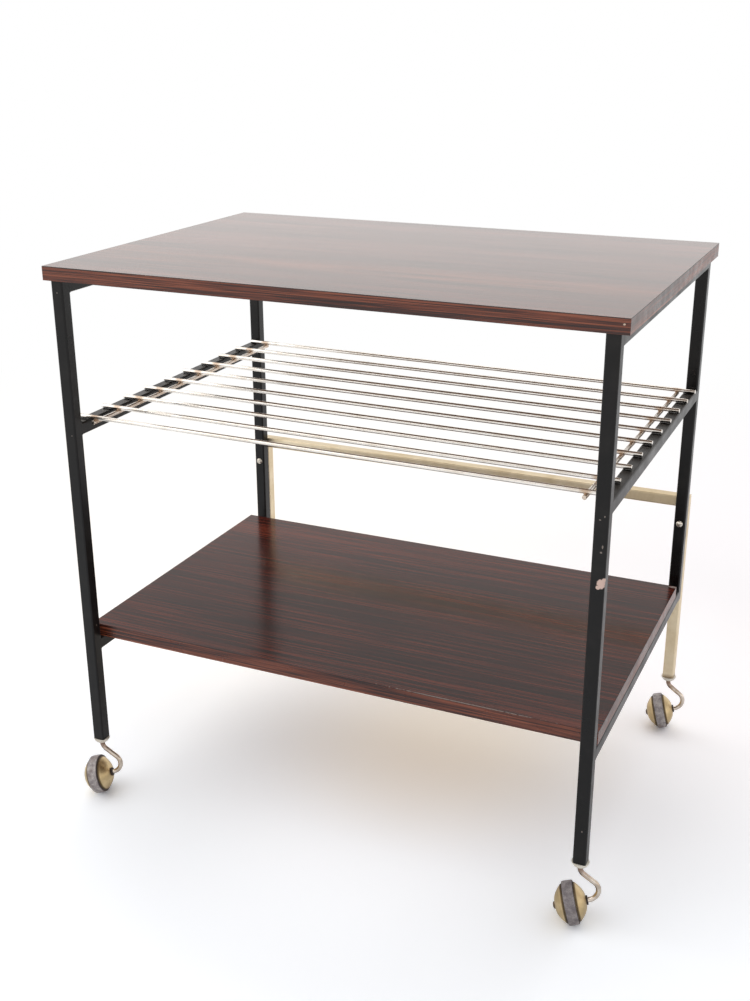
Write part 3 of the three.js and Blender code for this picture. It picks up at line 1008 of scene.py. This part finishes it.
def addBoard(board):
    style = boardStyle
    low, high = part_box(f"{board}_laminate")
    sheet = startBlock(f"{board}_laminate_sheet", low, high)
    edit(sheet)
    pick(sheet, "EDGE", lambda edge: abs(edgeWay(edge).z) > 0.9)
    bpy.ops.mesh.bevel(offset=style["corner"], segments=style["cornerSteps"], profile=0.5)
    pick(sheet, "EDGE", lambda edge: edgeMiddle(edge).z > high.z - style["sheetRound"])
    bpy.ops.mesh.bevel(offset=style["sheetRound"], segments=style["sheetSteps"], profile=0.5)
    leaveEdit()
    dress(sheet, "frame", "laminate", [laminate, laminateEdge], f"{board}_laminate")
    giveSlot(sheet, 1, lambda face: abs(face.normal.z) < 0.5)
    smooth(sheet)

    band = makeTube(f"{board}_edge_band_strip", *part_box(f"{board}_edge_band"), 2, style)
    roundEdges(band, style["rimRound"])
    dress(band, "frame", "edge_band", [bandAlongX, bandAlongY], f"{board}_edge_band")
    giveSlot(band, 1, lambda face: abs(face.normal.x) > abs(face.normal.y))
    smooth(band)

    for node, finish in ((f"{board}_core", chipboard), (f"{board}_backing", backing)):
        mesh = frame["nodes"][node].data
        mesh.materials.clear()
        mesh.materials.append(finish)


# Screws: a domed head with a slot, built seat down on Z
screwForm = {"tip": 0.5, "taperFrom": 0.92, "top": 0.08, "domeDegrees": (12, 80, 11), "sides": 32}
frameScrewStyle = {
    "headRadius": 0.0044, "headHeight": 0.0026, "rim": 0.0006, "shankRadius": 0.0022, "length": 0.0215,
    "slotWidth": 0.0009, "slotDepth": 0.0012, "slotTurns": {"left": 55, "right": 0},
}
boardScrewStyle = {
    "headRadius": 0.0039, "headHeight": 0.0021, "rim": 0.0005, "shankRadius": 0.0019, "length": 0.026,
    "slotWidth": 0.0009, "slotDepth": 0.0011, "places": (0.2, 0.8), "slotTurn": 37, "sideTurn": 70,
}


def makeScrew(name, style):
    radius, height, rim = style["headRadius"], style["headHeight"], style["rim"]
    shank, length = style["shankRadius"], style["length"]
    rings = [(shank * screwForm["tip"], -length), (shank, -length * screwForm["taperFrom"])]
    rings += [(shank, 0.0), (radius, 0.0), (radius, rim)]
    for degrees in range(*screwForm["domeDegrees"]):
        angle = math.radians(degrees)
        rings.append((radius * math.cos(angle), rim + (height - rim) * math.sin(angle)))
    rings.append((radius * screwForm["top"], height))
    screw = turned(name, rings, screwForm["sides"])
    cutter = started(
        "slotCutter", bpy.ops.mesh.primitive_cube_add,
        size=1, location=(0, 0, height), scale=(radius * 3, style["slotWidth"], 2 * style["slotDepth"]),
    )
    modify(screw, "BOOLEAN", operation="DIFFERENCE", object=cutter, solver="EXACT")
    remove(cutter)
    smooth(screw, 30)
    return screw


def addScrews():
    pattern = makeScrew("frameScrewPattern", frameScrewStyle)
    for side in sideNames:
        place = centreOf(f"frame_screw_{side}")
        place.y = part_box(f"rear_leg_{side}")[0].y
        slotTurn = math.radians(frameScrewStyle["slotTurns"][side])
        turn = (Matrix.Rotation(math.radians(90), 3, "X") @ Matrix.Rotation(slotTurn, 3, "Z")).to_euler()
        screw = copyOf(pattern, f"frame_screw_{side}_slotted", place, turn)
        dress(screw, "frame", "nickel", [nickel], f"frame_screw_{side}")
    remove(pattern)

    style = boardScrewStyle
    pattern = makeScrew("boardScrewPattern", style)
    for side in sideNames:
        for level in ("top", "bottom"):
            low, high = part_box(f"{level}_crossbar_{side}")
            for number, share in enumerate(style["places"], 1):
                place = Vector(((low.x + high.x) / 2, low.y + (high.y - low.y) * share, low.z))
                slotTurn = style["slotTurn"] * number + style["sideTurn"] * len(side)
                turn = (math.radians(180), 0, math.radians(slotTurn))
                screw = copyOf(pattern, f"board_screw_{level}_{side}_{number}", place, turn)
                dress(screw, "frame", "nickel", [nickel])
    remove(pattern)


# Rack: ten rods spot-welded on two cross rods, all a little askew
rackStyle = {
    "radius": 0.0025, "endRound": 0.0008, "rodLength": 0.640, "crossFromEnd": 0.005, "sides": 24,
    "weldSize": (0.0024, 0.0017, 0.0009), "weldRipple": 0.00008, "weldTurn": 1.9,
}


def makeRod(name, length):
    radius, rounding = rackStyle["radius"], rackStyle["endRound"]
    half = length / 2
    tip = roundCorner((radius - rounding, half - rounding), rounding, 0, 84, 4)
    rings = [(across, -along) for across, along in reversed(tip)] + tip
    rod = turned(name, rings, rackStyle["sides"])
    smooth(rod, 40)
    return rod


def addRack():
    skew = math.radians(rodStyle["skew"])
    rods = []
    pattern = makeRod("rodPattern", rackStyle["rodLength"])
    turn = (Matrix.Rotation(skew, 3, "Z") @ Matrix.Rotation(math.radians(90), 3, "Y")).to_euler()
    for node in rodNodes:
        rods.append(centreOf(node))
        rod = copyOf(pattern, f"{node}_wire", rods[-1], turn)
        dress(rod, "rack", "bright_rod", [brightRod], node)
    remove(pattern)

    crossLength = (rods[-1] - rods[0]).length + 2 * rackStyle["crossFromEnd"]
    pattern = makeRod("crossRodPattern", crossLength)
    along = Vector((math.cos(skew), math.sin(skew), 0))
    blobs = []
    add = bpy.ops.mesh.primitive_ico_sphere_add
    blob = started("weldPattern", add, subdivisions=3, radius=1, scale=rackStyle["weldSize"])
    edit(blob)
    selectAll()
    bpy.ops.transform.vertex_random(offset=rackStyle["weldRipple"], uniform=1.0, seed=4)
    leaveEdit()
    turn = (Matrix.Rotation(skew, 3, "Z") @ Matrix.Rotation(math.radians(90), 3, "X")).to_euler()
    for side in sideNames:
        node = f"rack_cross_rod_{side}"
        rod = copyOf(pattern, f"{node}_wire", centreOf(node), turn)
        dress(rod, "rack", "bright_rod", [brightRod], node)
        offset = along * (centreOf(node) - rackCentre()).dot(along)
        for number, rodCentre in enumerate(rods):
            place = rodCentre + offset
            place.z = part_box(node)[1].z
            weldTurn = (0, 0, skew + number * rackStyle["weldTurn"])
            blobs.append(copyOf(blob, f"spot_weld_{side}_{number}", place, weldTurn))
    remove(pattern)
    remove(blob)
    welds = joined(blobs, "rack_spot_welds")
    smooth(welds, 60)
    dress(welds, "rack", "bright_rod", [brightRod])


# Casters: plug, bent stem, collar, tyre and two domes. Lengths from the bottom of the leg, in metres.
plugStyle = {
    "rimRadius": 0.0099, "rimHeight": 0.0013, "depth": 0.0060, "bottomRadius": 0.0046, "bore": 0.0033,
    "round": 0.0004, "rimRound": 0.0003, "flare": 2.2, "lift": 0.0001, "steps": 8, "sides": 48,
    "shank": 0.0120, "shankLength": 0.026,
}
stemStyle = {
    "radius": 0.003, "top": 0.0227, "drop": 0.0078, "firstTurn": 50, "firstRadius": 0.012, "run": 0.0165,
    "returnRadius": 0.0135, "axleTilt": 14, "axleReach": 0.020, "sides": 24, "degreesPerStep": 5,
    "headRadius": 0.0043, "headHeight": 0.002, "headFoot": 0.9, "headLift": 0.0002,
}
wheelStyle = {
    "tyreRadius": 0.0246, "tyreWidth": 0.0130, "seatRadius": 0.0195, "shoulder": 0.0016, "crown": 0.0003,
    "rimRadius": 0.0215, "rimLip": 0.0008, "lipRound": 0.0004, "domeHeight": 0.0106, "domeFlank": 1.8,
    "sheet": 0.001, "gap": 0.0003, "bore": 0.0034, "hubWall": 0.0016, "edgeRound": 0.0003,
    "collarWall": 0.0019, "collarLength": 0.0016, "collarRound": 0.0007,
    "sides": 72, "innerSteps": 6, "outerSteps": 22, "crownShares": (0, 0.35, 0.7), "collarSides": 40,
    "wear": 0.0005, "wearScale": 0.011,
}


def makePlug():
    style = plugStyle
    rise = style["depth"] - style["rimHeight"]
    spread = style["rimRadius"] - style["bottomRadius"]
    bore, bottom, rounding = style["bore"], -style["depth"], style["round"]
    rings = [(bore, 0.0), (bore, bottom + rounding), (bore + rounding, bottom)]
    rings.append((style["bottomRadius"] - rounding, bottom))
    for step in range(style["steps"] + 1):
        share = step / style["steps"]
        height = bottom + rise * share ** style["flare"] + style["lift"]
        rings.append((style["bottomRadius"] + spread * share, height))
    rings += [(style["rimRadius"], -style["rimRound"]), (style["rimRadius"] - style["rimRound"], 0.0)]
    dish = turned("dishPattern", rings, style["sides"], hollow=True)
    half = style["shank"] / 2
    top = Vector((half, half, style["shankLength"]))
    shank = makeTube("shankPattern", Vector((-half, -half, 0)), top, 2)
    plug = joined([dish, shank], "plugPattern")
    smooth(plug)
    return plug


def makeStem():
    style = stemStyle
    turn = math.radians(style["firstTurn"])
    tilt = math.radians(style["axleTilt"])
    back = turn + math.pi / 2 - tilt
    stem = startCircle("stemPattern", style["sides"], style["radius"], style["top"])
    edit(stem)
    selectAll()
    place = Vector((0, 0, style["top"]))

    def straight(way, length):
        bpy.ops.mesh.extrude_region_move(TRANSFORM_OT_translate={"value": way * length})
        return place + way * length

    def bend(centre, angle, sign):
        steps = math.ceil(math.degrees(angle) / style["degreesPerStep"])
        bpy.ops.mesh.spin(steps=steps, angle=angle, center=centre, axis=(0, -sign, 0))
        return centre + Matrix.Rotation(angle * sign, 3, "Y") @ (place - centre)

    down = Vector((0, 0, -1))
    place = straight(down, style["top"] + style["drop"])
    place = bend(place + Vector((style["firstRadius"], 0, 0)), turn, -1)
    way = Vector((math.sin(turn), 0, -math.cos(turn)))
    place = straight(way, style["run"])
    inward = Vector((-math.cos(turn), 0, -math.sin(turn)))
    place = bend(place + inward * style["returnRadius"], back, 1)
    way = Vector((-math.cos(tilt), 0, -math.sin(tilt)))
    wheelCentre = place + way * style["axleReach"]
    apex = wheelStyle["tyreWidth"] / 2 + 2 * wheelStyle["gap"] + wheelStyle["domeHeight"]
    place = straight(way, style["axleReach"] + apex + style["headHeight"] / 2)
    faceOutward()
    leaveEdit()

    rings = [(style["headRadius"] * style["headFoot"], 0.0)]
    rings += roundCorner((0, style["headLift"]), style["headRadius"], 0, 75, 7)
    flat = [(radius, height * style["headHeight"] / style["headRadius"]) for radius, height in rings]
    head = turned("rivetPattern", flat, style["sides"])
    turnToAxle = way.to_track_quat("Z", "Y").to_euler()
    seated = copyOf(head, "rivetHead", wheelCentre + way * apex, turnToAxle)
    remove(head)
    stem = joined([stem, seated], "stemPattern")
    smooth(stem, 40)
    tip = wheelCentre + way * apex
    store(stem, "fromRivet", lambda spot: (spot - tip).length)
    return stem, wheelCentre, -way


def makeDome():
    style = wheelStyle
    base = style["tyreWidth"] / 2 + style["gap"]
    apex = base + style["domeHeight"]
    hub = style["bore"] + style["hubWall"]
    seat = style["seatRadius"] - style["gap"]
    sheet = style["sheet"]
    middle = style["gap"] / 2
    rise = style["domeHeight"] - style["rimLip"]

    def flank(drop, outermost, steps):
        rings = []
        for step in range(steps + 1):
            share = outermost * (1 - step / steps)
            height = apex - drop - rise * share ** style["domeFlank"]
            rings.append((hub + (style["rimRadius"] - hub) * share, height))
        return rings

    rounding = style["lipRound"]
    lip = roundCorner((style["rimRadius"] - rounding, base + rounding), rounding, -80, -5, 4)
    rings = [(style["bore"], middle), (hub, middle)]
    innermost = (1 - (2 * sheet - style["rimLip"]) / rise) ** (1 / style["domeFlank"])
    rings += flank(sheet, innermost, style["innerSteps"])[::-1]
    rings += [(seat - sheet, base + sheet), (seat - sheet, middle), (seat, middle), (seat, base)]
    rings += lip + flank(0, 1, style["outerSteps"])[1:]
    rings += [(style["bore"] + style["edgeRound"], apex), (style["bore"], apex - style["edgeRound"])]
    dome = turned("domePattern", rings, style["sides"], hollow=True)
    smooth(dome)
    store(dome, "fromAxle", lambda spot: math.hypot(spot.x, spot.y))
    return dome


def makeTyre():
    style = wheelStyle
    half = style["tyreWidth"] / 2
    shoulder = style["shoulder"]
    flat = style["tyreRadius"] - style["crown"]
    upper = [(style["tyreRadius"] - style["crown"] * share ** 2, (half - shoulder) * share)
             for share in style["crownShares"]]
    upper += roundCorner((flat - shoulder, half - shoulder), shoulder, 0, 90, 5)
    upper.append((style["seatRadius"], half))
    lower = [(radius, -height) for radius, height in reversed(upper[1:])]
    tyre = turned("tyrePattern", lower + upper, style["sides"] * 2, hollow=True)
    store(tyre, "acrossTread", lambda spot: abs(spot.z) / half)
    lumps = bpy.data.textures.new("tyreWear", "CLOUDS")
    lumps.noise_scale = style["wearScale"]
    lumps.noise_depth = 3
    modify(tyre, "DISPLACE", texture=lumps, texture_coords="LOCAL", strength=style["wear"], mid_level=1.0)
    smooth(tyre, 50)
    return tyre


def makeCollar():
    style = wheelStyle
    low = style["tyreWidth"] / 2 + 2 * style["gap"] + style["domeHeight"]
    high = low + style["collarLength"]
    outer = style["bore"] + style["collarWall"]
    edge, rounding = style["edgeRound"], style["collarRound"]
    rings = [(style["bore"], low), (outer - edge, low), (outer, low + edge)]
    rings += roundCorner((outer - rounding, high - rounding), rounding, 0, 90, 4)
    rings.append((style["bore"], high))
    collar = turned("collarPattern", rings, style["collarSides"], hollow=True)
    smooth(collar)
    return collar


def store(piece, name, measure):
    layer = piece.data.attributes.new(name, "FLOAT", "POINT")
    layer.data.foreach_set("value", [measure(vertex.co) for vertex in piece.data.vertices])


# How far a caster stands turned, from the axis its wheel spins on
def swivelAngle(name):
    joint = next(row for row in frame["joints"] if row["name"] == f"wheel_spin_{name}")
    return math.atan2(joint["axis"][1], joint["axis"][0])


def addCasters():
    plug = makePlug()
    stem, wheelCentre, axle = makeStem()
    dome, tyre, collar = makeDome(), makeTyre(), makeCollar()
    for name in casterNames:
        legNode = f"front_leg_{name[6:]}" if name.startswith("front") else f"brass_leg_{name[5:]}"
        foot = centreOf(legNode)
        foot.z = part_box(legNode)[0].z
        swing = Matrix.Rotation(swivelAngle(name), 3, "Z")
        hubPlace = foot + swing @ wheelCentre
        turnedAxle = swing @ axle
        upright = turnedAxle.to_track_quat("Z", "Y").to_euler()
        flipped = (-turnedAxle).to_track_quat("Z", "Y").to_euler()
        swivel, wheel = f"swivel_{name}", f"wheel_{name}"
        rows = [
            (plug, "caster_plug", "frame", "white_plastic", whitePlastic, foot, Euler()),
            (stem, "caster_stem", swivel, "stem_metal", stemMetal, foot, swing.to_euler()),
            (collar, "wheel_collar", wheel, "dark_plastic", darkRing, hubPlace, upright),
            (tyre, "wheel_tyre", wheel, "grey_rubber", greyRubber, hubPlace, upright),
            (dome, "wheel_dome_inner", wheel, "aged_brass", agedBrass, hubPlace, upright),
            (dome, "wheel_dome_outer", wheel, "aged_brass", agedBrass, hubPlace, flipped),
        ]
        for pattern, node, body, slot, finish, place, turn in rows:
            piece = copyOf(pattern, f"{node}_{name}_piece", place, turn)
            dress(piece, body, slot, [finish], f"{node}_{name}")
    for pattern in (plug, stem, dome, tyre, collar):
        remove(pattern)


addSideFrames()
addWelds()
print("side frames made")
addBrassFrame()
print("brass frame made")
addBoard("tabletop")
addBoard("shelf")
print("boards made")
addScrews()
addRack()
print("screws and rack made")
addCasters()
print("casters made")


# Stage: a pale floor with painted shadow and painted light near the trolley, a white world and soft
# lights
floorStyle = {
    "size": 28,
    "drop": 0.0002,
    "near": paint(244, 249, 255),
    "far": paint(255, 254, 252),
    "behind": paint(249, 249, 253),
    "under": paint(253, 247, 236),
    "glowFrom": (1.0, 2.3),
    "acrossX": (-0.5, 0.3),
    "acrossY": (-0.3, 0.4),
    "paintedShadowCentre": (0.05, 0.08, 0),
    "paintedShadowReach": (0.02, 0.3),
    "paintedLightCentre": (0.05, -0.12, 0),
    "paintedLightReach": (0.35, 0.95),
    "lift": 0.25,
    "shadowReach": (0.05, 0.35),
    "shadowLift": 0.33,
    "bounce": 0.72,
}
worldStyle = {
    "fill": 0.82,
    "mirrorLow": 1.36,
    "mirrorMiddle": 0.62,
    "mirrorTop": 1.0,
    "lowRise": (0.16, 0.42),
    "topRise": (0.55, 0.85),
    "mirrorColour": (1, 0.968, 0.946, 1),
}


# Two masks: 1 for what the camera sees; and 1 for what the camera, a mirror or glass sees, 0 for light
# that falls on the trolley
def rays(wire):
    camera, mirror, glass = [
        wire.node("ShaderNodeLightPath", {}, {}, f"Is {kind} Ray")
        for kind in ("Camera", "Glossy", "Transmission")
    ]
    return camera, camera.larger(mirror).larger(glass)


# Floor tones near, far and behind; near the trolley a painted warm shadow tone ("under") and, for the
# camera only, painted light ("lift") that lightens the trolley's shadow
def floorColour(ground, camera):
    style = floorStyle
    distant = mixed(ease(part(ground, 0), *style["acrossX"]), style["far"], style["behind"])
    colour = mixed(ease(part(ground, 1), *style["acrossY"]), style["near"], distant)
    # Painted shadow: a warm tone under the trolley's rear
    fromPaintedShadow = lengthOf(vector("SUBTRACT", ground, style["paintedShadowCentre"]))
    colour = mixed(ease(fromPaintedShadow, *style["paintedShadowReach"]), style["under"], colour)
    # Painted light: for the camera only, the floor is brightened around the trolley ("lift" and
    # "shadowLift"), which lightens the trolley's shadow
    fromPaintedLight = lengthOf(vector("SUBTRACT", ground, style["paintedLightCentre"]))
    lift = ease(fromPaintedLight, *style["paintedLightReach"], style["lift"], 0.0)
    lift = lift + ease(fromPaintedLight, *style["shadowReach"], style["shadowLift"], 0.0)
    return colour.node(
        "ShaderNodeVectorMath", {"operation": "SCALE"}, {0: colour, "Scale": camera * lift + 1}
    )


def addFloor():
    add = bpy.ops.mesh.primitive_plane_add
    floor = started("floor", add, size=floorStyle["size"], location=(0, 0, -floorStyle["drop"]))
    finish = bpy.data.materials.new("floor")
    finish.use_nodes = True
    tree = finish.node_tree
    tree.nodes.clear()
    place = Wire(tree, tree.nodes.new("ShaderNodeTexCoord").outputs["Object"])
    ground = vector("MULTIPLY", place, (1, 1, 0))
    camera, seen = rays(place)
    bounce = floorStyle["bounce"]
    colour = mixed(seen, (bounce, bounce, bounce, 1), floorColour(ground, camera))
    matt = place.node("ShaderNodeBsdfDiffuse", {}, {"Color": colour})
    glow = place.node("ShaderNodeEmission", {}, {"Color": (1, 1, 1, 1), "Strength": 1.0})
    far = ease(lengthOf(ground), *floorStyle["glowFrom"])
    surface = place.node("ShaderNodeMixShader", {}, {0: far * seen, 1: matt, 2: glow})
    output = tree.nodes.new("ShaderNodeOutputMaterial")
    tree.links.new(surface.socket, output.inputs["Surface"])
    floor.data.materials.append(finish)


def setWorld():
    style = worldStyle
    world = bpy.data.worlds.new("studio")
    bpy.context.scene.world = world
    world.use_nodes = True
    tree = world.node_tree
    sky = tree.nodes["Background"]
    way = Wire(tree, tree.nodes.new("ShaderNodeTexCoord").outputs["Generated"])
    rise = part(way, 2)
    mirror = ease(rise, *style["lowRise"], style["mirrorLow"], style["mirrorMiddle"])
    mirror = mirror + ease(rise, *style["topRise"], 0.0, style["mirrorTop"] - style["mirrorMiddle"])
    camera, seen = rays(way)
    level = seen * mirror + (1 - seen) * style["fill"]
    level = camera + (1 - camera) * level
    tree.links.new(level.socket, sky.inputs["Strength"])
    colour = mixed(camera, style["mirrorColour"], (1, 1, 1, 1))
    tree.links.new(colour.socket, sky.inputs["Color"])


lightRows = [
    {
        "name": "overhead", "place": (-0.4, 1.0, 2.9), "size": (3.4, 2.6),
        "power": 24, "colour": (1, 0.985, 0.96),
    },
    {
        "name": "leftWindow", "place": (-2.3, -1.5, 2.2), "size": (3.2, 2.6),
        "power": 26, "colour": (1, 0.99, 0.97),
    },
]
lightAim = (0, 0, 0.35)


def addLights():
    for row in lightRows:
        data = bpy.data.lights.new(row["name"], "AREA")
        data.shape = "RECTANGLE"
        data.size, data.size_y = row["size"]
        data.energy = row["power"]
        data.color = row["colour"]
        light = bpy.data.objects.new(row["name"], data)
        bpy.context.scene.collection.objects.link(light)
        light.location = row["place"]
        aim = Vector(lightAim) - light.location
        light.rotation_euler = aim.to_track_quat("-Z", "Y").to_euler()
        light.visible_camera = False


addFloor()
setWorld()
addLights()
bpy.context.scene.view_settings.view_transform = "Standard"
print("stage made")
